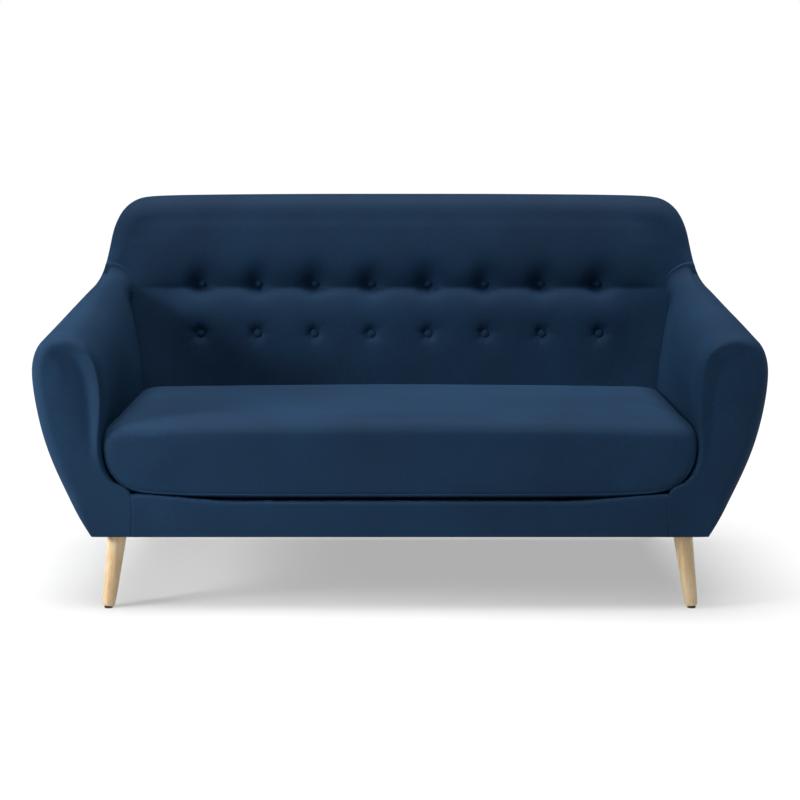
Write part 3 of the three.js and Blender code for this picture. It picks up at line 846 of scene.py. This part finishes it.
def buildLathe(name, profile, origin, axis, sides=56):  # profile holds (radius, height) pairs
    turn = Vector((0, 0, 1)).rotation_difference(Vector(axis).normalized())
    verts, faces = [], []
    rows = [p for p in profile if p[0] > 1e-6]
    for radius, height in rows:
        for k in range(sides):
            a = 2 * math.pi * k / sides
            spot = Vector((radius * math.cos(a), radius * math.sin(a), height))
            verts.append(Vector(origin) + turn @ spot)
    for r in range(len(rows) - 1):
        for k in range(sides):
            a, b = r * sides + k, r * sides + (k + 1) % sides
            faces.append((a, b, b + sides, a + sides))
    for end, start in ((profile[0], 0), (profile[-1], (len(rows) - 1) * sides)):
        verts.append(Vector(origin) + turn @ Vector((0, 0, end[1])))
        tip = len(verts) - 1
        for k in range(sides):
            faces.append((start + k, start + (k + 1) % sides, tip))
    return makeMesh(name, verts, faces)


buttonCut = {
    "radius": 0.0122,
    "height": 0.0078,
    "drop": 0.001,
    "stand": 0.001,
    "upperSink": 0.0028,  # the upper row is drawn in deeper
    "profile": [
        (0, -0.25), (0.78, -0.25), (0.93, -0.10), (1.0, 0.12), (0.985, 0.34), (0.90, 0.58),
        (0.74, 0.78), (0.52, 0.92), (0.26, 0.985), (0, 1.0),
    ],
}


def buildButton(name, node):
    cut = buttonCut
    middle = sum(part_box(node), Vector()) / 2
    x, z = middle.x, middle.z - cut["drop"]
    sink = float(backBulge(np.array([x]), np.array([z]))[0])
    origin = Vector((x, backFace(z) - sink + cut["stand"], z))
    if z > (lowButton.z + highButton.z) / 2:
        origin.y += cut["upperSink"]
    profile = [(r * cut["radius"], h * cut["height"]) for r, h in cut["profile"]]
    return buildLathe(name, profile, origin, (0, -1, faceRake), sides=40)


legCut = {
    "topRadius": 0.0205,
    "footRadius": 0.0135,
    "taper": 0.9,
    "foot": [(0, 0.0008), (0.0080, 0.0006), (0.0108, 0.0012), (0.0126, 0.0032), (0.0135, 0.0072)],
    "ring": 0.0040,  # a turned groove this far under the top
    "ringDepth": 0.0006,
}


def buildLeg(name, node, glideNode):
    cut = legCut
    low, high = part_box(node)
    foot = sum(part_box(glideNode), Vector()) / 2
    top = sum(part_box(node + "_plate"), Vector()) / 2
    top.z, foot.z = high.z, low.z
    axis = top - foot
    length = axis.length
    wide = cut["topRadius"]
    profile = list(cut["foot"])
    for share in (0.15, 0.3, 0.45, 0.6, 0.75, 0.88):
        radius = cut["footRadius"] + (wide - cut["footRadius"]) * share ** cut["taper"]
        profile.append((radius, share * length))
    groove = length - cut["ring"]
    shoulder = wide * 0.995
    profile += [
        (shoulder, groove - 0.0016), (shoulder - cut["ringDepth"], groove - 0.0004),
        (shoulder - cut["ringDepth"], groove + 0.0004), (wide, groove + 0.0014),
        (wide, length - 0.0006), (wide - 0.0008, length), (0, length),
    ]
    leg = buildLathe(name, profile, foot, axis, sides=72)
    co = vertexArray(leg.data)
    co[:, 2] = np.clip(co[:, 2], low.z, high.z)
    placeVertices(leg.data, co)
    return leg


# materials
def toLinear(text):  # sRGB hex to linear RGBA
    out = []
    for k in (0, 2, 4):
        c = int(text[k:k + 2], 16) / 255
        out.append(c / 12.92 if c <= 0.04045 else ((c + 0.055) / 1.055) ** 2.4)
    return (*out, 1.0)


def addNode(tree, kind, settings=None, inputs=None, links=None):
    node = tree.nodes.new(kind)
    for key, value in (settings or {}).items():
        setattr(node, key, value)
    for key, value in (inputs or {}).items():
        node.inputs[key].default_value = value
    for key, source in (links or {}).items():
        tree.links.new(source, node.inputs[key])
    return node


def newMaterial(name):  # an empty material, its shader and the object's own coordinates
    material = bpy.data.materials.new(name)
    material.use_nodes = True
    tree = material.node_tree
    tree.nodes.clear()
    shader = addNode(tree, "ShaderNodeBsdfPrincipled")
    addNode(tree, "ShaderNodeOutputMaterial", links={"Surface": shader.outputs[0]})
    coords = addNode(tree, "ShaderNodeTexCoord").outputs["Object"]
    return material, tree, shader, coords


def setShader(tree, shader, values):  # a value is a number, a colour or another node's output
    for key, value in values.items():
        if isinstance(value, bpy.types.NodeSocket):
            tree.links.new(value, shader.inputs[key])
        else:
            shader.inputs[key].default_value = value


def ramp(tree, source, stops):  # places along the ramp with their colours
    node = addNode(tree, "ShaderNodeValToRGB", links={"Fac": source})
    elements = node.color_ramp.elements
    for k, (place, colour) in enumerate(stops):
        element = elements[k] if k < 2 else elements.new(place)
        element.position = place
        element.color = toLinear(colour)
    return node.outputs[0]


def calc(tree, operation, a, b=None, clamp=False):
    settings = {"operation": operation, "use_clamp": clamp}
    inputs, links = {}, {}
    for k, value in enumerate([a] if b is None else [a, b]):
        (inputs if isinstance(value, (int, float)) else links)[k] = value
    return addNode(tree, "ShaderNodeMath", settings, inputs, links).outputs[0]


def blend(tree, a, shareA, b, shareB):  # each value times its share, added up
    return calc(tree, "ADD", calc(tree, "MULTIPLY", a, shareA), calc(tree, "MULTIPLY", b, shareB))


def noiseTexture(tree, coords, scale, detail=2.0, roughness=0.5, distortion=0.0):
    inputs = {"Scale": scale, "Detail": detail, "Roughness": roughness, "Distortion": distortion}
    return addNode(tree, "ShaderNodeTexNoise", inputs=inputs, links={"Vector": coords}).outputs[0]


def spanned(tree, source, low, high, seen=(0.3, 0.7)):  # stretches a texture's usual range to a new one
    inputs = {"From Min": seen[0], "From Max": seen[1], "To Min": low, "To Max": high}
    return addNode(tree, "ShaderNodeMapRange", inputs=inputs, links={"Value": source}).outputs[0]


def bumped(tree, height, strength, distance):
    inputs = {"Strength": strength, "Distance": distance}
    return addNode(tree, "ShaderNodeBump", inputs=inputs, links={"Height": height}).outputs[0]


def weaveHeight(tree, coords, pitch):  # plain weave on any face: crossing threads, over and under
    split = addNode(tree, "ShaderNodeSeparateXYZ", links={0: coords})
    facing = addNode(tree, "ShaderNodeNewGeometry")
    turned = addNode(
        tree, "ShaderNodeVectorTransform",
        {"vector_type": "NORMAL", "convert_from": "WORLD", "convert_to": "OBJECT"},
        links={0: facing.outputs["Normal"]},
    )
    aim = addNode(tree, "ShaderNodeSeparateXYZ", links={0: turned.outputs[0]})
    waves = [
        calc(tree, "SINE", calc(tree, "MULTIPLY", split.outputs[k], math.pi / pitch))
        for k in range(3)
    ]
    total = None
    for k, (a, b) in enumerate(((1, 2), (0, 2), (0, 1))):
        face = calc(tree, "POWER", calc(tree, "ABSOLUTE", aim.outputs[k]), 3.0)
        crossing = calc(tree, "MULTIPLY", calc(tree, "MULTIPLY", waves[a], waves[b]), face)
        total = crossing if total is None else calc(tree, "ADD", total, crossing)
    return total


blueCut = {
    "dark": "0b2035", "mid": "0e2a44", "light": "143652", "sheenTint": "3f8cc6",
    "threadMm": 1.6, "fleckMm": 5.0, "napMm": 170.0, "roughness": 0.80, "sheen": 0.055, "shine": 0.16,
}
liningCut = {
    "dark": "10192a", "mid": "152238", "light": "1d2d48", "sheenTint": "4c6688",
    "threadMm": 0.9, "fleckMm": 3.0, "napMm": 120.0, "roughness": 0.88, "sheen": 0.15, "shine": 0.16,
}


def brushedWeave(name, cut):
    # brushed polyester upholstery cloth: short nap over a plain weave, so it shades softly
    # and lightens at grazing angles. The thread is drawn a little coarse so that it shows.
    material, tree, shader, coords = newMaterial(name)
    nap = noiseTexture(tree, coords, 1000 / cut["napMm"], detail=3.0, roughness=0.55)
    fleck = noiseTexture(tree, coords, 1000 / cut["fleckMm"])
    weave = weaveHeight(tree, coords, cut["threadMm"] / 1000)
    tone = blend(tree, nap, 0.45, fleck, 0.55)
    tone = calc(tree, "ADD", tone, calc(tree, "MULTIPLY", weave, 0.05), clamp=True)
    height = calc(tree, "ADD", calc(tree, "MULTIPLY", weave, 0.35), fleck)
    setShader(tree, shader, {
        "Base Color": ramp(tree, tone, [(0.20, cut["dark"]), (0.50, cut["mid"]), (0.80, cut["light"])]),
        "Roughness": spanned(tree, fleck, cut["roughness"] - 0.05, cut["roughness"] + 0.07),
        "Normal": bumped(tree, height, 0.22, 0.0006),
        "Sheen Weight": cut["sheen"],
        "Sheen Roughness": 0.38,
        "Sheen Tint": toLinear(cut["sheenTint"]),
        "Specular IOR Level": cut["shine"],
    })
    return material


coverCut = {"dark": "161618", "light": "2c2c30", "bondMm": 3.0}


def spunbondCloth(name, cut):
    # spunbonded polypropylene: dull black felt with rows of small melted points
    material, tree, shader, coords = newMaterial(name)
    dots = addNode(
        tree, "ShaderNodeTexVoronoi", inputs={"Scale": 1000 / cut["bondMm"], "Randomness": 0.15},
        links={"Vector": coords},
    )
    fibre = noiseTexture(tree, coords, 420.0, detail=5.0, roughness=0.7)
    tone = blend(tree, dots.outputs["Distance"], 0.5, fibre, 0.5)
    setShader(tree, shader, {
        "Base Color": ramp(tree, tone, [(0.25, cut["dark"]), (0.75, cut["light"])]),
        "Normal": bumped(tree, tone, 0.3, 0.0004),
        "Roughness": 0.9,
    })
    return material


strapCut = {"dark": "5b4a33", "mid": "8c7b5b", "light": "a59575", "ribMm": 2.2}


def juteStrap(name, cut):
    # woven jute and rubber webbing: coarse ribs across the strap with darker flecks
    material, tree, shader, coords = newMaterial(name)
    split = addNode(tree, "ShaderNodeSeparateXYZ", links={0: coords})
    pitch = math.pi * 1000 / cut["ribMm"]
    weft, ribs = [
        calc(tree, "SINE", calc(tree, "MULTIPLY", split.outputs[k], pitch)) for k in (0, 1)
    ]
    cross = calc(tree, "MULTIPLY", ribs, weft)
    fleck = noiseTexture(tree, coords, 260.0, detail=3.0)
    tone = calc(tree, "ADD", calc(tree, "MULTIPLY", cross, 0.2), fleck)
    setShader(tree, shader, {
        "Base Color": ramp(tree, tone, [(0.25, cut["dark"]), (0.5, cut["mid"]), (0.75, cut["light"])]),
        "Normal": bumped(tree, tone, 0.5, 0.0006),
        "Roughness": 0.85,
    })
    return material


def woodGrain(name, cut):
    # wood with its grain along one axis: stretched noise for the growth rings, fine pores over it
    material, tree, shader, coords = newMaterial(name)
    stretch = addNode(tree, "ShaderNodeMapping", inputs={"Scale": cut["stretch"]}, links={"Vector": coords})
    along = stretch.outputs[0]
    rings = noiseTexture(tree, along, 1000 / cut["ringMm"], detail=4.0, roughness=0.55, distortion=0.6)
    pores = noiseTexture(tree, along, 1000 / cut["poreMm"])
    tone = blend(tree, rings, 0.72, pores, 0.28)
    setShader(tree, shader, {
        "Base Color": ramp(tree, tone, [(0.30, cut["dark"]), (0.48, cut["mid"]), (0.66, cut["light"])]),
        "Roughness": spanned(tree, pores, cut["roughness"], cut["roughness"] + 0.12),
        "Normal": bumped(tree, tone, 0.12, 0.0003),
        "Coat Weight": cut["coat"],
        "Coat Roughness": 0.28,
    })
    return material


beechCut = {
    "dark": "bf996b", "mid": "d0b387", "light": "dbc6a3", "ringMm": 7.0, "poreMm": 1.6,
    "stretch": (1, 1, 0.10), "roughness": 0.38, "coat": 0.25,
}
pineCut = {
    "dark": "b58a55", "mid": "d2b07c", "light": "e2c898", "ringMm": 16.0, "poreMm": 3.0,
    "stretch": (0.12, 1, 1), "roughness": 0.62, "coat": 0.0,
}
plyCut = {
    "dark": "a98556", "mid": "cba974", "light": "dcc194", "ringMm": 2.4, "poreMm": 1.4,
    "stretch": (0.1, 1.6, 0.1), "roughness": 0.6, "coat": 0.0,
}


def zincSteel(name):
    # bright zinc plate on pressed steel: faint crystalline mottling, soft reflections
    material, tree, shader, coords = newMaterial(name)
    mottle = noiseTexture(tree, coords, 160.0, detail=4.0)
    setShader(tree, shader, {
        "Base Color": ramp(tree, mottle, [(0.35, "8f9294"), (0.65, "b9bcbd")]),
        "Roughness": spanned(tree, mottle, 0.28, 0.48, seen=(0.0, 1.0)),
        "Metallic": 1.0,
    })
    return material


def mouldedNylon(name):
    # moulded nylon glide: dull brown-black with a fine moulded grain
    material, tree, shader, coords = newMaterial(name)
    grain = noiseTexture(tree, coords, 900.0)
    setShader(tree, shader, {
        "Base Color": ramp(tree, grain, [(0.3, "2d2926"), (0.7, "3f3a35")]),
        "Normal": bumped(tree, grain, 0.15, 0.0002),
        "Roughness": 0.5,
    })
    return material


blueCloth = brushedWeave("brushedBlueWeave", blueCut)
deckCloth = brushedWeave("navyLiningCloth", liningCut)
coverCloth = spunbondCloth("blackSpunbond", coverCut)
strapCloth = juteStrap("juteWebbing", strapCut)
beechWood = woodGrain("satinBeech", beechCut)
pineWood = woodGrain("sawnPine", pineCut)
plyWood = woodGrain("birchPly", plyCut)
zinc = zincSteel("zincPlatedSteel")
nylon = mouldedNylon("mouldedNylon")
print("materials made")


def finishPiece(piece, material, replaced=(), body="sofa_frame"):
    piece.data.materials.clear()
    piece.data.materials.append(material)
    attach(piece, body)
    if replaced:
        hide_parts(*replaced)
    return piece


for side, word in ((1, "right"), (-1, "left")):
    arm = buildArm(word + "ArmCover", side)
    finishPiece(arm, blueCloth, [word + "_arm"])
print("arms made")

finishPiece(buildBack(), blueCloth, ["inside_back"])
finishPiece(buildRearPanel(), blueCloth, ["outside_back"])
print("back made")

for row in ("lower", "upper"):
    for k in range(1, 9):
        button = buildButton(f"{row}Button{k}", f"{row}_button_{k}")
        finishPiece(button, blueCloth, [f"{row}_button_{k}"])
print("buttons made")

finishPiece(buildApron(), blueCloth, ["front_apron"])
finishPiece(buildDeckCloth(), deckCloth, ["seat_deck"])
dust = finishPiece(buildDustCover(), coverCloth, ["dust_cover"])
for k in range(1, 5):
    finishPiece(buildStrap(f"webbingStrap{k}", f"webbing_{k}"), strapCloth, [f"webbing_{k}"])
print("base cloths made")

cushion = buildCushion()
inflate(cushion, cushionCut)
settleCushion(cushion)
smooth = cushion.modifiers.new("smooth", "SUBSURF")
smooth.levels = smooth.render_levels = 1
applyModifiers(cushion)
finishPiece(cushion, blueCloth, ["seat_cushion"], body="cushion")
welt = cushionWelt(cushion)
finishPiece(welt, blueCloth, body="cushion")
print("cushion made")

for word in ("right", "left"):
    for end in ("front", "rear"):
        node = f"{word}_{end}_leg"
        leg = buildLeg(f"{word}{end.capitalize()}Leg", node, f"{word}_{end}_glide")
        finishPiece(leg, beechWood, [node])
print("legs made")

nodeFinish = {
    "pine_timber": pineWood, "birch_plywood": plyWood, "zinc_steel": zinc, "glide_plastic": nylon,
}
slotOf = {row["node"]: row["material_slot"] for row in frame["record"]["subparts"]}
for node, shape in frame["nodes"].items():
    if slotOf[node] in nodeFinish:
        shape.data.materials.clear()
        shape.data.materials.append(nodeFinish[slotOf[node]])

# floor, light and camera
studioCut = {
    "floor": ("a9a9a9", "adadad"),
    "floorSize": 60.0,
    "glow": 0.42,
    "keyLight": {"spot": (0.5, -3.0, 1.9), "target": (-0.3, 0, 0.45), "size": (1.4, 1.0), "power": 3.0},
    "sideLight": {
        "spot": (-2.4, -1.1, 1.10), "target": (-0.78, -0.32, 0.43), "size": (0.9, 0.8),
        "power": 4.4, "spread": 35,
    },
    "sun": 4.8,
    "sunAngle": 50.0,  # wide, so its shadows are soft
    "sunFrom": (-0.02, 0.03, 1.0),
    "eye": (0, -4.081, 1.034),
    "pitch": 9.0,
    "lens": 80.5,
}


def paleFloor():
    size = studioCut["floorSize"]
    verts = [(-size, -size, 0), (size, -size, 0), (size, size, 0), (-size, size, 0)]
    floor = makeMesh("studioFloor", verts, [(0, 1, 2, 3)])
    material, tree, shader, coords = newMaterial("paleStudioFloor")
    mottle = noiseTexture(tree, coords, 2.0)
    setShader(tree, shader, {
        "Base Color": ramp(tree, mottle, list(zip((0.3, 0.7), studioCut["floor"]))),
        "Roughness": 0.9,
        "Emission Color": (1, 1, 1, 1),
        "Emission Strength": studioCut["glow"],
    })
    floor.data.materials.append(material)


def softLight(name, spot, target, size, power, spread=180):
    lamp = bpy.data.lights.new(name, "AREA")
    lamp.spread = math.radians(spread)
    lamp.shape = "RECTANGLE"
    lamp.size, lamp.size_y = size
    lamp.energy = power
    holder = addObject(name, lamp)
    holder.location = spot
    holder.rotation_euler = (Vector(target) - Vector(spot)).to_track_quat("-Z", "Y").to_euler()


def buildStudio():
    scene = bpy.context.scene
    paleFloor()
    scene.world = bpy.data.worlds.new("studio")
    scene.world.use_nodes = True
    tree = scene.world.node_tree
    back = tree.nodes["Background"]
    back.inputs["Color"].default_value = (1, 1, 1, 1)
    seen = addNode(tree, "ShaderNodeLightPath").outputs["Is Camera Ray"]
    tree.links.new(seen, back.inputs["Strength"])  # a white backdrop that lights nothing
    for name in ("keyLight", "sideLight"):
        softLight(name, **studioCut[name])
    sky = bpy.data.lights.new("overheadLight", "SUN")
    sky.energy = studioCut["sun"]
    sky.angle = math.radians(studioCut["sunAngle"])
    holder = addObject("overheadLight", sky)
    holder.rotation_euler = Vector(studioCut["sunFrom"]).to_track_quat("Z", "Y").to_euler()
    camera = bpy.data.cameras.new("camera")
    camera.lens = studioCut["lens"]
    camera.sensor_width = 36
    eye = addObject("camera", camera)
    eye.location = studioCut["eye"]
    eye.rotation_euler = (math.radians(90 - studioCut["pitch"]), 0, 0)
    scene.camera = eye
    scene.view_settings.view_transform = "Standard"


buildStudio()
print("studio made")
